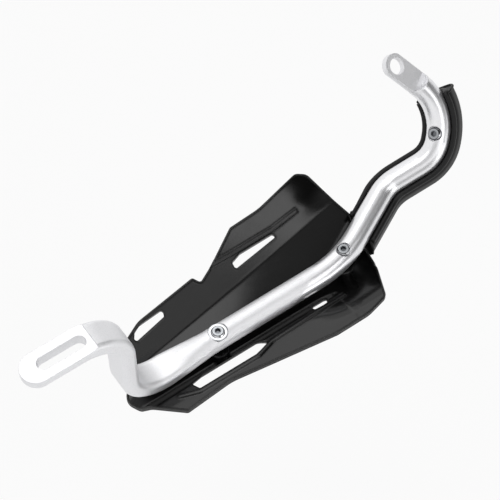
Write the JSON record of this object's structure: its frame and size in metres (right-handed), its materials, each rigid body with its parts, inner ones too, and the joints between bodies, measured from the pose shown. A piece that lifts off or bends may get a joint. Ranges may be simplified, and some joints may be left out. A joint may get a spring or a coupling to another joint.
{
  "type": "motorcycle hand guard",
  "caption": "Hand guard for a motorcycle handlebar: a bent aluminium bar with a slotted foot and a clamp eye, a black vented shield in front and a black cover on the curved inner end.",
  "frame": {"origin": "centre of the slot in the bar's outer foot, on the face that bolts to the handlebar's end", "axes": "+X along the bar's straight run towards the clamp eye, +Z out of the foot's face towards the rider, +Y towards the shield's taller edge"},
  "size_m": [0.3965, 0.1323, 0.1229],
  "materials": {
    "bar_aluminium": "polished",
    "shield_plastic": "semi-gloss",
    "cover_plastic": "satin",
    "screw_steel": "bright",
    "insert_brass": "turned"
  },
  "bodies": {
    "root": {"guard_bar": "bar_aluminium", "shield": "shield_plastic", "bar_cover": "cover_plastic", "shield_screw_outer": "screw_steel", "shield_screw_inner": "screw_steel", "cover_screw": "screw_steel", "outer_insert": "insert_brass", "inner_insert": "insert_brass", "cover_insert": "insert_brass"}
  },
  "joints": []
}
